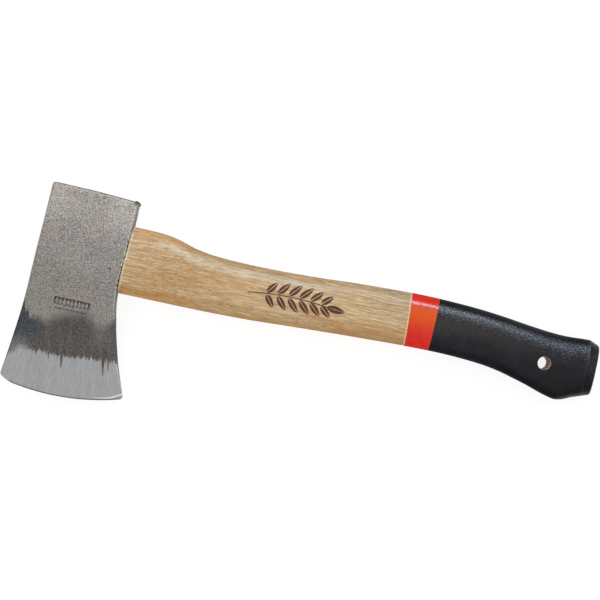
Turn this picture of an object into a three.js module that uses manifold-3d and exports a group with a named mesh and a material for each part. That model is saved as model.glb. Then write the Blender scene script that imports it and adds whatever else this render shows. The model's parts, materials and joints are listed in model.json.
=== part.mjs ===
// A 600 g Rhenish hatchet lying on its side: a forged head on a wooden handle, held by a wooden wedge
// and a steel ring wedge, with a painted signal band and a dipped, lacquered grip.
//
// Millimetres. +X runs along the handle from the head to the butt, +Y from the cutting edge to the poll,
// and +Z up through the cheeks. The origin is on the lower cheek, straight below the centre of the eye.
import * as THREE from "three";
import { mergeVertices } from "three/addons/utils/BufferGeometryUtils.js";
import Module from "manifold-3d";

const wasm = await Module();
wasm.setup();

// ---- Driving dimensions ----

const FIT_GAP = 0.3; // left between two pieces that touch on the real hatchet
const OVER = 3; // how far a cutting or trimmed block runs past the piece it meets

// Head. X is 0 at the middle of the eye.
const CHEEK = 12.5; // half the head's thickness at the eye
const POLL_Y = 38.3;
const POLL_HALF = 11; // half the thickness at the poll
const POLL_CORNER = 2;
const POLL_TAPER_Y = 14; // from here the cheeks close in towards the poll
// Its two sides, as points for a smooth curve: the front from poll to toe, the back from heel to poll.
const FRONT_SIDE = [[-25.6, 36], [-26.8, 2], [-29.2, -40], [-34.7, -86.4]];
const BACK_SIDE = [[43.7, -83.8], [36.3, -63], [30.6, -42], [27.2, -22], [28.7, 15], [28.9, 36]];
const TOE = { corner: [-33.3, -88.5], edgeX: -27 };
const HEEL = { corner: [44.9, -86.2], edgeX: 42 };
const EDGE_RADIUS = 150; // the cutting edge is an arc seen from the cheek
const EDGE_Y = -93.2; // its lowest point, at X = 0
const EDGE_HALF = 0.25; // half the thickness left at the cutting edge
const EDGE_SIDES = 160; // of the full circle that the edge is a part of
const RIM = 1.2; // rounding along the rims of the cheeks
const STAMP = { x: 1.2, y: -33.8, length: 23.2, height: 4.4, depth: 0.4 };

// Blade: [distance from the edge, half thickness], from the ground faces up to the full cheek.
const BLADE = [[25, 2.4], [35, 3.3], [48, 5.1], [62, 8.2], [74, 11.4], [82, CHEEK + 0.4]];
const BLADE_STEPS = 11;

// Eye: [X, half height, half width], wider at both mouths than inside.
const EYE = [[-31, 20.9, 9.8], [-12, 19.8, 9.1], [12, 19.4, 8.8], [33, 20.2, 9.4]];
const EYE_POWER = 2.2;
const EYE_TOP = { x: -26.7, slant: 0.045 }; // the wood is cut off here, along the front side
const TONGUE_END_X = 32; // the stretch in the eye runs on into the shoulder

// Handle: [X, top, bottom, half width], from the shoulder at the head to the butt.
const HANDLE = [
  [26, 21.6, -21.6, 11.2],
  [47, 21.2, -21.6, 11.2],
  [57, 19.9, -21.6, 11.1],
  [70, 16.1, -21.6, 11.0],
  [86, 14.0, -21.5, 10.9],
  [112, 13.4, -20.9, 10.9],
  [146, 14.2, -19.1, 11.2],
  [180, 16.2, -17.6, 11.7],
  [218, 17.3, -16.3, 11.9],
  [245, 16.5, -16.5, 11.9],
  [268, 14.7, -18.6, 11.9],
  [290, 12.0, -24.0, 12.0],
  [306, 10.7, -28.8, 12.3],
  [313, 10.6, -30.0, 12.35],
  [319, 11.1, -27.1, 12.3],
  [326, 11.3, -24.5, 12.1],
  [332, 10.6, -22.6, 11.8],
];
const HANDLE_POWER = 2.4; // 2 would be an ellipse: a little more flattens the sides
const BUTT_X = HANDLE.at(-1)[0];
const BUTT_BEVEL = { length: 6.2, top: 2.0, bottom: 0.2, wide: 3.4 };
const SHOULDER_X = HANDLE[0][0]; // inside the head's outline, which trims it back
const STATION_STEP = 8.5;
const OVAL_SIDES = 32;

// Coatings over the grip. The wood under them is turned down, so they stand only a little proud.
const COAT = 0.5;
const PROUD = 0.15;
const UNDERCUT = COAT + FIT_GAP - PROUD;
const BAND_X = 210.4;
const BAND_LENGTH = 16.3;
const GRIP_X = BAND_X + BAND_LENGTH + FIT_GAP;

const HANG_HOLE = { x: 298.8, y: -8.8, radius: 4.1, sides: 32 };

// Wedges, driven into the top of the eye.
const WEDGE = { depth: 34, topHalf: 2.2, tipHalf: 0.5 };
const KERF_DEPTH = 37;
const RING = { x: -26.4, depth: 14, outer: 6.1, wall: 1.4, taper: 0.5, bladeFrom: 11, tip: 0.4, sides: 40 };

// ---- Materials ----

const material = (name, color, roughness, metalness) =>
  new THREE.MeshStandardMaterial({ name, color, roughness, metalness });
const FORGED_STEEL = material("forged steel", 0x85817d, 0.55, 0.85);
const ASH = material("ash wood", 0xc9a676, 0.6, 0);
const BEECH = material("beech wood", 0xb98d60, 0.7, 0);
const ZINC_STEEL = material("bright steel", 0xb4b4b2, 0.4, 1);
const SIGNAL_RED = material("signal red lacquer", 0xe8401f, 0.3, 0);
const BLACK = material("black dipping lacquer", 0x232326, 0.45, 0);

// ---- Helpers between three.js and manifold-3d ----

function solid(geometry) {
  const bare = geometry.index ? geometry.toNonIndexed() : geometry.clone();
  bare.deleteAttribute("normal");
  bare.deleteAttribute("uv");
  const merged = mergeVertices(bare, 1e-4);
  return new wasm.Manifold(
    new wasm.Mesh({
      numProp: 3,
      vertProperties: merged.attributes.position.array,
      triVerts: new Uint32Array(merged.index.array),
    }),
  );
}

function node(name, body, look) {
  const made = body.getMesh();
  const geometry = new THREE.BufferGeometry();
  geometry.setAttribute("position", new THREE.BufferAttribute(made.vertProperties, 3));
  geometry.setIndex(new THREE.BufferAttribute(made.triVerts, 1));
  geometry.computeVertexNormals();
  const mesh = new THREE.Mesh(geometry, look);
  mesh.name = name;
  return mesh;
}

const points2 = (list) => list.map(([x, y]) => new THREE.Vector2(x, y));

// A rod along X with a changing oval section, shaped from a unit cylinder.
// section(x) gives { middle, high, wide }: the centre's Y, and the half height and half width.
function ovalRod(stations, section, power) {
  const rows = stations.length - 1;
  const geometry = new THREE.CylinderGeometry(1, 1, 1, OVAL_SIDES, rows);
  const at = geometry.attributes.position;
  for (let i = 0; i < at.count; i++) {
    const [up, side] = [at.getX(i), at.getZ(i)];
    const x = stations[Math.round((0.5 - at.getY(i)) * rows)];
    const { middle, high, wide } = section(x);
    const reach = (Math.abs(up) ** power + Math.abs(side) ** power) ** (1 / power) || 1;
    const round = Math.hypot(up, side) ** 2 / reach;
    at.setXYZ(i, x, middle + (high * up * round) || 0, wide * side * round || 0);
  }
  return solid(geometry);
}

// Stations from one X to another: one at each row of the table between them, and others at most
// STATION_STEP apart.
function stationsBetween(from, to, table) {
  const rows = table.map((row) => row[0]).filter((x) => x > from && x < to);
  const knots = [from, ...rows, to];
  const stations = [from];
  for (let i = 1; i < knots.length; i++) {
    const gap = knots[i] - knots[i - 1];
    const steps = Math.ceil(gap / STATION_STEP);
    for (let step = 1; step <= steps; step++) stations.push(knots[i - 1] + (gap * step) / steps);
  }
  return stations;
}

// ---- Head ----

function headOutline() {
  const edgeCentreY = EDGE_Y + EDGE_RADIUS;
  const onEdge = (x) => [x, edgeCentreY - Math.sqrt(EDGE_RADIUS ** 2 - x ** 2)];
  const angle = ([x, y]) => Math.atan2(y - edgeCentreY, x);
  const [toeEdge, heelEdge] = [onEdge(TOE.edgeX), onEdge(HEEL.edgeX)];
  const [front, back] = [FRONT_SIDE[0], BACK_SIDE.at(-1)];

  const outline = new THREE.Shape();
  outline.moveTo(...front);
  outline.splineThru(points2(FRONT_SIDE.slice(1)));
  outline.quadraticCurveTo(...TOE.corner, ...toeEdge);
  outline.absarc(0, edgeCentreY, EDGE_RADIUS, angle(toeEdge), angle(heelEdge), false);
  outline.quadraticCurveTo(...HEEL.corner, ...BACK_SIDE[0]);
  outline.splineThru(points2(BACK_SIDE.slice(1)));
  outline.quadraticCurveTo(back[0], POLL_Y, back[0] - POLL_CORNER, POLL_Y);
  outline.lineTo(front[0] + POLL_CORNER, POLL_Y);
  outline.quadraticCurveTo(front[0], POLL_Y, ...front);
  return outline;
}

function extrudedOutline(rim, half) {
  const geometry = new THREE.ExtrudeGeometry(headOutline(), {
    depth: 2 * (half - rim),
    bevelEnabled: rim > 0,
    bevelThickness: rim,
    bevelSize: rim,
    bevelOffset: -rim,
    bevelSegments: 2,
    curveSegments: 8,
  });
  return solid(geometry.translate(0, 0, rim - half));
}

const bladeHalf = new THREE.CubicInterpolant(
  BLADE.map((row) => row[0]),
  BLADE.map((row) => row[1]),
  1,
);

// The blade thins towards the edge all along its arc, so its section is turned about the arc's centre.
function bladeBody() {
  const [ground, full] = [BLADE[0][0], BLADE.at(-1)[0]];
  const cheek = BLADE.at(-1)[1];
  const upper = [new THREE.Vector2(0, cheek)];
  for (let step = 0; step <= BLADE_STEPS; step++) {
    const distance = full + ((ground - full) * step) / BLADE_STEPS;
    upper.push(new THREE.Vector2(EDGE_RADIUS - distance, bladeHalf.evaluate(distance)[0]));
  }
  upper.push(new THREE.Vector2(EDGE_RADIUS, EDGE_HALF));
  upper.push(new THREE.Vector2(EDGE_RADIUS + OVER, EDGE_HALF));
  const lower = upper.map((p) => new THREE.Vector2(p.x, -p.y)).reverse();
  const geometry = new THREE.LatheGeometry([...upper, ...lower].reverse(), EDGE_SIDES);
  return solid(geometry.rotateX(Math.PI / 2).translate(0, EDGE_Y + EDGE_RADIUS, 0));
}

// The head seen along the handle: full thickness at the eye, a little less at the poll.
function pollTaper() {
  const [wide, far, length] = [CHEEK + 1, 120, 100]; // well outside the rest of the head
  const profile = new THREE.Shape(
    points2([
      [-far, -wide],
      [POLL_TAPER_Y, -wide],
      [POLL_TAPER_Y, -CHEEK],
      [POLL_Y, -POLL_HALF],
      [POLL_Y, POLL_HALF],
      [POLL_TAPER_Y, CHEEK],
      [POLL_TAPER_Y, wide],
      [-far, wide],
    ]),
  );
  const geometry = new THREE.ExtrudeGeometry(profile, { depth: length, bevelEnabled: false });
  // The shape's X becomes the head's Y, its Y becomes Z, and the extrusion runs along X.
  const turn = new THREE.Matrix4().makeBasis(
    new THREE.Vector3(0, 1, 0),
    new THREE.Vector3(0, 0, 1),
    new THREE.Vector3(1, 0, 0),
  );
  return solid(geometry.translate(0, 0, -length / 2).applyMatrix4(turn));
}

const eyeSize = new THREE.CubicInterpolant(
  EYE.map((row) => row[0]),
  EYE.flatMap((row) => row.slice(1)),
  2,
);

// The oval of the eye between two X, drawn in by an inset.
function eyeRod(from, to, inset) {
  const section = (x) => {
    const [high, wide] = eyeSize.evaluate(x);
    return { middle: 0, high: high - inset, wide: wide - inset };
  };
  return ovalRod(stationsBetween(from, to, EYE), section, EYE_POWER);
}

// A shallow rectangle pressed into the upper cheek, lying along the blade's slope.
function stampRecess() {
  const distance = STAMP.y - EDGE_Y;
  const surfaceZ = bladeHalf.evaluate(distance)[0];
  const rise = bladeHalf.evaluate(distance + 1)[0] - surfaceZ;
  const block = new THREE.BoxGeometry(STAMP.length, STAMP.height, OVER);
  block.translate(0, 0, OVER / 2 - STAMP.depth);
  block.rotateX(Math.atan(rise));
  return solid(block.translate(STAMP.x, STAMP.y, surfaceZ));
}

function makeHead() {
  return extrudedOutline(RIM, CHEEK)
    .intersect(bladeBody())
    .intersect(pollTaper())
    .subtract(eyeRod(EYE[0][0], EYE.at(-1)[0], 0))
    .subtract(stampRecess());
}

// ---- Handle and its coatings ----

const handleSize = new THREE.CubicInterpolant(
  HANDLE.map((row) => row[0]),
  HANDLE.flatMap((row) => row.slice(1)),
  3,
);

// The handle's section at x, drawn in by an inset. The bevel round the butt is drawn in further.
function handleSection(x, inset) {
  const [top, bottom, wide] = handleSize.evaluate(x);
  const bevel = Math.max(0, (x - (BUTT_X - BUTT_BEVEL.length)) / BUTT_BEVEL.length);
  const high = top - inset - bevel * BUTT_BEVEL.top;
  const low = bottom + inset + bevel * BUTT_BEVEL.bottom;
  return {
    middle: (high + low) / 2,
    high: (high - low) / 2,
    wide: wide - inset - bevel * BUTT_BEVEL.wide,
  };
}

function handleRod(from, to, inset) {
  const bevelX = BUTT_X - BUTT_BEVEL.length;
  const stations =
    to > bevelX
      ? [...stationsBetween(from, bevelX, HANDLE.slice(0, -2)), to]
      : stationsBetween(from, to, HANDLE);
  return ovalRod(stations, (x) => handleSection(x, inset), HANDLE_POWER);
}

function hangHole() {
  const geometry = new THREE.CylinderGeometry(
    HANG_HOLE.radius,
    HANG_HOLE.radius,
    4 * CHEEK,
    HANG_HOLE.sides,
  );
  return solid(geometry.rotateX(Math.PI / 2).translate(HANG_HOLE.x, HANG_HOLE.y, 0));
}

// A block as high as the eye that narrows along +X, for the wooden wedge and for the kerf it fills.
function wedgeBlock(depth, topHalf, tipHalf) {
  const slope = (topHalf - tipHalf) / depth;
  const profile = new THREE.Shape(
    points2([
      [-OVER, -topHalf - OVER * slope],
      [depth, -tipHalf],
      [depth, tipHalf],
      [-OVER, topHalf + OVER * slope],
    ]),
  );
  const height = 2 * (EYE[0][1] + OVER);
  const geometry = new THREE.ExtrudeGeometry(profile, { depth: height, bevelEnabled: false });
  geometry.translate(0, 0, -height / 2).rotateX(Math.PI / 2);
  return solid(geometry.translate(EYE_TOP.x, 0, 0));
}

// Everything above the top of the eye, where the handle and its wedge are sawn off.
function aboveEye() {
  const block = new THREE.BoxGeometry(2 * OVER, 4 * CHEEK, 4 * CHEEK);
  return solid(block.translate(-OVER, 0, 0).rotateZ(-EYE_TOP.slant).translate(EYE_TOP.x, 0, 0));
}

// The ring wedge, a short tube that tapers to a cutting edge, grown by an allowance to cut its groove.
function ringBody(allowance) {
  const { x, depth, outer, wall, taper, bladeFrom, tip, sides } = RING;
  const top = allowance > 0 ? -OVER : 0;
  const inner = outer - wall;
  const profile = points2([
    [inner - allowance, top],
    [outer + allowance, top],
    [outer - taper + allowance, bladeFrom],
    [inner + tip + allowance, depth + allowance],
    [inner - allowance, depth + allowance],
    [inner - allowance, top],
  ]);
  const geometry = new THREE.LatheGeometry(profile, sides);
  return solid(geometry.rotateZ(-Math.PI / 2).translate(x, 0, 0));
}

function makeHandle() {
  const head = extrudedOutline(0, 2 * CHEEK).translate([FIT_GAP, 0, 0]);
  const bare = handleRod(SHOULDER_X, BAND_X - FIT_GAP, 0).subtract(head);
  const core = handleRod(TONGUE_END_X, BUTT_X - UNDERCUT, UNDERCUT);
  const tongue = eyeRod(EYE[0][0], TONGUE_END_X, FIT_GAP).subtract(aboveEye());
  const kerf = wedgeBlock(KERF_DEPTH, WEDGE.topHalf + FIT_GAP, WEDGE.tipHalf + FIT_GAP);
  const whole = bare.add(core).add(tongue);
  return whole.subtract(kerf).subtract(ringBody(FIT_GAP)).subtract(hangHole());
}

function makeWoodenWedge() {
  return wedgeBlock(WEDGE.depth, WEDGE.topHalf, WEDGE.tipHalf)
    .intersect(eyeRod(EYE[0][0], TONGUE_END_X, FIT_GAP))
    .subtract(aboveEye())
    .subtract(ringBody(FIT_GAP));
}

function makeBand() {
  const end = BAND_X + BAND_LENGTH;
  return handleRod(BAND_X, end, -PROUD).subtract(handleRod(BAND_X - OVER, end + OVER, COAT - PROUD));
}

// A skin over the grip, closed over the butt.
function makeGripCoating() {
  return handleRod(GRIP_X, BUTT_X, -PROUD)
    .subtract(handleRod(GRIP_X - OVER, BUTT_X - COAT, COAT - PROUD))
    .subtract(hangHole());
}

// ---- Assembly ----

const hatchet = new THREE.Group();
hatchet.add(
  node("head", makeHead(), FORGED_STEEL),
  node("handle", makeHandle(), ASH),
  node("wooden_wedge", makeWoodenWedge(), BEECH),
  node("ring_wedge", ringBody(0), ZINC_STEEL),
  node("signal_band", makeBand(), SIGNAL_RED),
  node("grip_coating", makeGripCoating(), BLACK),
);
hatchet.position.z = CHEEK; // it lies on its lower cheek and on the swell of the grip

export default hatchet;
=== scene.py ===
import json
import math

import bmesh
import bpy
import numpy as np
from mathutils import Matrix, Vector, noise
from mathutils.bvhtree import BVHTree


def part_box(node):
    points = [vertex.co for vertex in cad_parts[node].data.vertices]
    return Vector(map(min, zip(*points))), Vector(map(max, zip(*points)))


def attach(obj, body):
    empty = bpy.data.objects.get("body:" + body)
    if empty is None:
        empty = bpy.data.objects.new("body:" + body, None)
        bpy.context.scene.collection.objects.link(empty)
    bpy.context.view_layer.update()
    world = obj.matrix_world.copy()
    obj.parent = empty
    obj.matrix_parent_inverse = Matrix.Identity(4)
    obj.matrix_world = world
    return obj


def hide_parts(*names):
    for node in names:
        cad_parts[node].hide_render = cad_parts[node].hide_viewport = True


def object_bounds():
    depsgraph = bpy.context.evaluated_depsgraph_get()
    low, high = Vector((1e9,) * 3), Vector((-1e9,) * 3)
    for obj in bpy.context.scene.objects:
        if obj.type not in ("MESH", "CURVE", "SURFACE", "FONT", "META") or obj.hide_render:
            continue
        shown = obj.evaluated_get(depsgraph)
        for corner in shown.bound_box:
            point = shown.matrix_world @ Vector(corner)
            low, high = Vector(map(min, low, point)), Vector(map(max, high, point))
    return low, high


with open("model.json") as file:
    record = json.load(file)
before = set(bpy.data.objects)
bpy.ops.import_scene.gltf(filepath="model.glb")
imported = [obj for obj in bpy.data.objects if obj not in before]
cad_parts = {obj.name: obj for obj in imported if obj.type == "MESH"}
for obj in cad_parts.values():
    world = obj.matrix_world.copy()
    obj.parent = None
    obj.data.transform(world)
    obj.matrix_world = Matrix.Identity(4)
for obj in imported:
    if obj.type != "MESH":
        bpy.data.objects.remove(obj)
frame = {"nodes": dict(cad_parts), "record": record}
cad_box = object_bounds()

# A hatchet lying on its side. Metres, in the CAD frame: +X runs from the head to the butt, +Y from the
# cutting edge to the poll, and +Z up through the cheeks.

MM = 0.001
MID = sum(corner.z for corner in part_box("head")) / 2  # the middle plane of the head and the handle

# ---- Driving sizes ----

# The camera looks straight down, turned so that the handle falls to the right.
CAMERA_HEIGHT = 1250 * MM  # above the middle plane
PICTURE_WIDTH = 379.2 * MM
PICTURE_TURN = math.radians(12)
PICTURE_OFFSET = Vector((-7.6, 25.6, 0)) * MM  # from the middle of the object to the middle of the picture

WELD = 1e-7  # points nearer than this become one
CREASE = math.radians(40)  # the sharpest turn that is still shaded smooth

# Fits and coats
FIT = 0.05 * MM  # left between pieces that are driven together
CLEAR = 3 * MM  # how far a cutting tool stands out of what it cuts
COAT_PROUD = 0.15 * MM  # how far the lacquers stand above the bare wood
COAT_DEPTH = 0.25 * MM  # how far they reach below it
TURNED_DOWN = 0.35 * MM  # how much lower the wood lies under them
LIP = 0.12 * MM  # the rounding along a lacquer's edge
BAND_LEAN = (-0.05, 0.02)  # slope of the band's two edges across the handle

# Handle
SECTION_POWER = 2.4  # of the handle's superellipse
EYE_POWER = 2.2
AROUND = 128  # points round the handle
TONGUE_INSET = 0.3 * MM  # from the front of the head down to the wood in the eye
TONGUE_CROWN = 0.15 * MM  # how far the middle of its end stands out
SHOULDER_ROUND = 0.9 * MM
BUTT_ROUND = 0.9 * MM
BEVEL_LENGTH = 6.2 * MM
BEVEL_SOFT = 0.25 * MM
HOLE_FLARE = 0.12 * MM  # how far the hanging hole opens where it meets the grip's surface
LEAN_REACH = 25 * MM  # how far a slanted cut still skews the handle beside it
CAP_SHARES = (0, 0.3, 0.55, 0.75, 0.9, 0.97)  # the size of each loop that closes an end

# Wedges, and the kerf that the wooden one is driven into
KERF_END = 9.5 * MM  # X of the kerf's bottom
KERF_HALF = 24 * MM  # taller than the eye, so that the kerf parts the whole tongue
WEDGE_PROUD = 0.12 * MM  # how far it stands out of the wood
WEDGE_TIP = 0.5 * MM  # half its thickness at the tip
WEDGE_POWER = 8
WEDGE_HEIGHT = 0.97  # of the eye's
RING_PROUD = 0.2 * MM
RING_WALL = 1.4 * MM
RING_SOFT = 0.25 * MM
RING_BARREL = 11 * MM  # how far the ring keeps nearly its full width, before it tapers to its edge
RING_DRAFT = 0.4 * MM  # how much its outside has drawn in by then
RING_EDGE = 0.3 * MM  # how thick the wall still is at its end

# Head
RIM = 1.2 * MM
POLL_ROUND = 1.5 * MM
POLL_SLOPE = -0.033  # the struck poll falls towards the handle
POLL_SAG = -0.6  # and curves, in 1/m
POLL_CROWN = 0.35 * MM
EDGE_HALF = 0.05 * MM
EDGE_PEAK = 0.03 * MM  # how far the middle of the cutting edge stands out
EDGE_SLOPE = 0.45  # of the narrow bevel along the cutting edge
GROUND_DEPTH = 25 * MM  # how far the ground faces reach up from the edge
EYE_CHAMFER = 0.5 * MM
BURR = 1.1 * MM  # at the poll's corner nearest the handle
BURR_CORE, BURR_REACH = 1.1 * MM, 2.2 * MM  # it is full up to the first, and gone past the second
NICK = 0.7 * MM  # more than the depth of any nick along the back rim

# Where the CAD head is measured
EYE_REACH = 21.4 * MM  # clear of the eye above and below
WALL_Z = 10.5 * MM  # half way through the wall beside the eye
SOUNDING_X = -18 * MM  # a line up the cheek that misses the stamp
EDGE_SAMPLES = (-22 * MM, 5 * MM, 34 * MM)  # X of three points of the cutting edge
EYE_SAMPLES = (-23 * MM, 24 * MM)  # from the front of the eye to its back

# Stamped mark on the upper cheek: a sunk panel with a row of raised diamonds, and dots under it.
STAMP_MIDDLE = Vector((1.2, -33.8)) * MM
STAMP_HALF = Vector((11.6, 2.4)) * MM
STAMP_DEPTH = 0.3 * MM
STAMP_SOFT = 0.25 * MM
DIAMONDS = 9
PANEL_EDGE = 1 * MM  # between each end of the panel and the row of diamonds
DIAMOND_WIDE, DIAMOND_HIGH = 0.46, 0.85  # half a diamond, as a part of the pitch and of half the panel
DOT_ROW = {"y": -38.4 * MM, "half": 10.3 * MM, "count": 12, "radius": 0.55 * MM, "depth": 0.15 * MM}

# Printed mark on the handle: a sprig with pairs of leaflets
SPRIG_LOW, SPRIG_HIGH = 108 * MM, 164 * MM
SPRIG_Y = -2.5 * MM
SPRIG_BOW = 2.2 * MM
STEM_HALF = 0.32 * MM
LEAF_PAIRS = 6
LEAF_LENGTH = 11 * MM
LEAF_WIDTH = 4 * MM
LEAF_GAP = 0.9 * MM  # between the stem and a leaflet
MIDRIB_HALF = 0.16 * MM  # half of what is left bare along a leaflet's middle
END_LEAF = (12 * MM, -1.2 * MM)  # from the base of the leaflet at the end to its tip
INK_HEIGHT = 0.03 * MM  # above the wood
INK_DEPTH = 0.06 * MM  # below it

# Markings of the head, and where a painted highlight lies on the wood, in millimetres. The first two are the
# tops of the quench-darkened zone across the blade and of the ground zone below it, as (x, y). A spike
# reaches down from the dark zone, and is (x, length, half width).
DARK_TOP = [(-29, -38), (-25.5, -44), (-23.5, -47.5), (-16, -47), (-12, -48.5), (-7, -44), (1, -41),
            (10, -39), (15, -41), (19, -44), (24, -44.5), (27, -42), (30, -36)]
GROUND_TOP = [(-34, -75), (-30, -71.5), (-25, -67.5), (-12, -67.5), (3, -68), (12, -66.5), (24, -65.5),
              (36, -65)]
DARK_SPIKES = [(1.5, 7, 1.0), (28.3, 9, 1.0), (31.6, 6, 0.9), (-7, 3, 1.0), (-15, 2.5, 1.0)]
PIT = (20.5, -7.5)
HIGHLIGHT_BELOW_TOP = 6.5  # from the handle's top edge down to a painted highlight streak on the wood

# Studio
FLOOR_SIZE = 20
FLOOR_GLOW = 0.86  # how strongly it shines of itself


# ---- Measuring the CAD model ----


def surface(*nodes):
    """CAD nodes as one tree that rays are cast at."""
    points, faces = [], []
    for node in nodes:
        mesh = frame["nodes"][node].data
        faces += [[len(points) + i for i in polygon.vertices] for polygon in mesh.polygons]
        points += [vertex.co for vertex in mesh.vertices]
    return BVHTree.FromPolygons(points, faces)


def vertices_of(node):
    return np.array([vertex.co for vertex in frame["nodes"][node].data.vertices])


def seen_from(tree, start, direction):
    """Where a ray first meets the tree. It starts a hair off the middle planes, clear of the seams there."""
    return tree.ray_cast(Vector(start) + Vector((3, 5, 7)) * 1e-6, Vector(direction))[0]


def curve_through(xs, rows):
    """A function of x that passes smoothly through the rows, and goes on straight past both ends."""
    slopes = np.gradient(rows, xs, axis=0)

    def at(x):
        x = np.atleast_1d(x)
        i = np.clip(np.searchsorted(xs, x) - 1, 0, len(xs) - 2)
        gap = (xs[i + 1] - xs[i])[:, None]
        t = np.clip((x - xs[i])[:, None] / gap, 0, 1)
        ends = rows[i] * (1 + 2 * t) * (1 - t) ** 2 + rows[i + 1] * t * t * (3 - 2 * t)
        turns = gap * (slopes[i] * t * (1 - t) ** 2 + slopes[i + 1] * t * t * (t - 1))
        past = (x - np.clip(x, xs[0], xs[-1]))[:, None]
        return ends + turns + past * np.where(past < 0, slopes[0], slopes[-1])

    return at


def smoothed(values, passes):
    """The values with their corners rounded, and their two ends kept."""
    values = np.array(values, float)
    for _ in range(passes):
        values[1:-1] = (values[:-2] + 2 * values[1:-1] + values[2:]) / 4
    return values


def soft_min(a, b, width):
    return np.minimum(a, b) - width * np.log1p(np.exp(-abs(a - b) / width))


def smooth_step(value, low, high):
    t = np.clip((value - low) / (high - low), 0, 1)
    return t * t * (3 - 2 * t)


def spaced(*stretches):
    """Values that run through stretches of (start, end, number of steps)."""
    runs = [np.linspace(start, end, steps, endpoint=False) for start, end, steps in stretches]
    return np.concatenate([*runs, [stretches[-1][1]]])


# ---- Making meshes ----


def mesh_object(name, vertices, faces):
    """A new object whose mesh is closed by welding the points that coincide."""
    mesh = bpy.data.meshes.new(name)
    mesh.from_pydata(np.asarray(vertices).tolist(), [], faces)
    body = bmesh.new()
    body.from_mesh(mesh)
    bmesh.ops.remove_doubles(body, verts=body.verts, dist=WELD)
    bmesh.ops.dissolve_degenerate(body, edges=body.edges, dist=WELD)
    bmesh.ops.recalc_face_normals(body, faces=body.faces)
    body.to_mesh(mesh)
    body.free()
    made = bpy.data.objects.new(name, mesh)
    bpy.context.scene.collection.objects.link(made)
    return made


def loft(name, loops, ring=False):
    """A skin through closed loops of points. With ring, the last loop joins the first."""
    loops = np.asarray(loops)
    rows, around = loops.shape[:2]
    faces = []
    for row in range(rows if ring else rows - 1):
        after = (row + 1) % rows
        for i in range(around):
            j = (i + 1) % around
            faces.append((row * around + i, row * around + j, after * around + j, after * around + i))
    return mesh_object(name, loops.reshape(-1, 3), faces)


def cut(body, tool):
    """Takes the tool's shape out of the body, and removes the tool."""
    step = body.modifiers.new("cut", "BOOLEAN")
    step.operation = "DIFFERENCE"
    step.solver = "EXACT"
    step.object = tool
    evaluated = body.evaluated_get(bpy.context.evaluated_depsgraph_get())
    mesh = bpy.data.meshes.new_from_object(evaluated)
    body.modifiers.clear()
    body.data = mesh
    bpy.data.objects.remove(tool)


def finish_piece(piece, node, material):
    """Smooths a piece's shading up to its creases, and gives it its material and its place in the frame."""
    piece.data.shade_smooth()
    piece.data.set_sharp_from_angle(angle=CREASE)
    piece.data.materials.clear()
    piece.data.materials.append(material)
    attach(piece, "root")
    if node:
        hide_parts(node)


def relief(body, height):
    """Moves every point along its normal by height(point)."""
    mesh = body.data
    normals = np.array([v.vector for v in mesh.vertex_normals])
    points = np.array([v.co for v in mesh.vertices])
    moves = np.array([height(Vector(p)) for p in points])
    mesh.vertices.foreach_set("co", (points + normals * moves[:, None]).astype(np.float32).ravel())
    mesh.update()


# ---- The handle's shape ----

BAND_LOW, BAND_HIGH = (corner.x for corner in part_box("signal_band"))
GRIP_LOW, BUTT = (corner.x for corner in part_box("grip_coating"))
JOINT = (BAND_HIGH + GRIP_LOW) / 2  # where the band and the grip's lacquer meet

opening = [Vector(corner) for corner in frame["record"]["physics"]["openings"][0]["box_m"]]
HOLE_X, HOLE_Y, _ = (opening[0] + opening[1]) / 2
HOLE_RADIUS = np.hypot(*(vertices_of("handle")[:, :2] - (HOLE_X, HOLE_Y)).T).min()

handle_tree = surface("handle", "signal_band", "grip_coating")


def measured_size(x):
    """The top, bottom and half width of the handle or its coat at x."""
    top = seen_from(handle_tree, (x, 1, MID), (0, -1, 0)).y
    bottom = seen_from(handle_tree, (x, -1, MID), (0, 1, 0)).y
    return top, bottom, seen_from(handle_tree, (x, (top + bottom) / 2, 1), (0, 0, -1)).z - MID


BEVEL_START = BUTT - BEVEL_LENGTH
stations = np.linspace(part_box("head")[1].x - 10 * MM, BEVEL_START - 0.2 * MM, 60)
stations = stations[(abs(stations - HOLE_X) > 1.5 * HOLE_RADIUS) & (abs(stations - JOINT) > MM)]
sizes = np.array([measured_size(x) for x in stations])
sizes[stations > BAND_LOW] -= np.array([1, -1, 1]) * COAT_PROUD
handle_curve = curve_through(stations, sizes)
bevel_from = handle_curve(BEVEL_START)[0]
bevel_to = np.array(measured_size(BUTT - 0.1 * MM)) - np.array([1, -1, 1]) * COAT_PROUD


def sharp_size(x):
    """The top, bottom and half width of the bare handle at each x, with the bevel at its butt."""
    share = ((x - BEVEL_START) / BEVEL_LENGTH)[:, None]
    return np.where(share > 0, bevel_from + share * (bevel_to - bevel_from), handle_curve(x))


def handle_size(x):
    """The same with the bevel's start softened, as a coat of lacquer leaves it."""
    x = np.atleast_1d(x)
    beside = sharp_size(x - BEVEL_SOFT) + sharp_size(x + BEVEL_SOFT)
    return beside / 4 + sharp_size(x) / 2


ANGLES = np.linspace(0, 2 * math.pi, AROUND, endpoint=False)


def oval(x, middle, high, wide, power):
    """A closed superellipse of points across the handle at x."""
    up, side = np.cos(ANGLES), np.sin(ANGLES)
    reach = (abs(up) ** power + abs(side) ** power) ** (1 / power)
    return np.stack([np.full(AROUND, x), middle + high * up / reach, MID + wide * side / reach], axis=1)


def handle_oval(x, inset=0.0, scale=1.0):
    """The handle's section at x, drawn in by inset, then scaled towards its middle."""
    top, bottom, wide = handle_size(x)[0]
    high = (top - bottom) / 2 - inset
    return oval(x, (top + bottom) / 2, high * scale, (wide - inset) * scale, SECTION_POWER)


# ---- The head's shape, as the CAD head measures ----

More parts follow.
